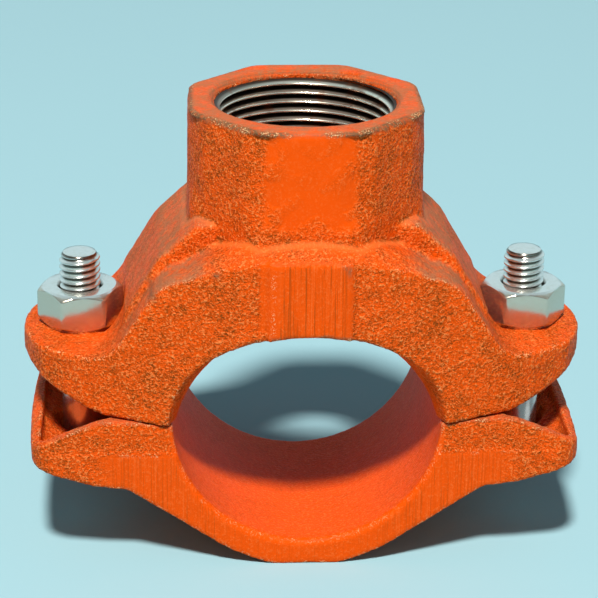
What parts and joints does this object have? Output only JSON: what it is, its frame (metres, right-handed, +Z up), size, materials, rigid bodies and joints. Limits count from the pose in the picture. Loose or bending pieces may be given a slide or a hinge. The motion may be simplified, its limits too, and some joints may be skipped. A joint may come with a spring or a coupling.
{
  "type": "mechanical tee",
  "caption": "Bolted mechanical tee: a threaded branch outlet housing and a strap that clamp round a run pipe with track-head bolts and hex nuts.",
  "frame": {"origin": "middle of the flat under the strap, on which the tee stands, below the branch's axis", "axes": "+Z up along the branch outlet, +X from bolt to bolt, +Y along the run pipe"},
  "size_m": [0.1298, 0.0644, 0.1046],
  "materials": {
    "orange_casting": "satin orange paint over ductile iron, grainy as cast",
    "zinc_steel": "bright zinc plate",
    "black_rubber": "matt moulded rubber"
  },
  "bodies": {
    "strap": {"strap_housing": "orange_casting", "bolt_left": "zinc_steel", "bolt_right": "zinc_steel"},
    "branch": {"branch_housing": "orange_casting", "gasket": "black_rubber"},
    "nut_left": {"nut_left": "zinc_steel"},
    "nut_right": {"nut_right": "zinc_steel"}
  },
  "joints": [
    {"name": "housing_lift", "type": "slide", "parent": "strap", "child": "branch", "axis": [0, 0, 1], "range_m": [0, 0.0127]},
    {"name": "nut_left_turn", "type": "hinge", "parent": "branch", "child": "nut_left", "pos_m": [-0.05175, 0, 0.0504], "axis": [0, 0, 1], "range_deg": [0, 2880.5]},
    {"name": "nut_right_turn", "type": "hinge", "parent": "branch", "child": "nut_right", "pos_m": [0.05175, 0, 0.0504], "axis": [0, 0, 1], "range_deg": [0, 2880.5]}
  ],
  "couplings": [
    {"joint": "nut_left_turn", "follows": "housing_lift", "rad_per_m": 3957.9},
    {"joint": "nut_right_turn", "follows": "housing_lift", "rad_per_m": 3957.9}
  ]
}
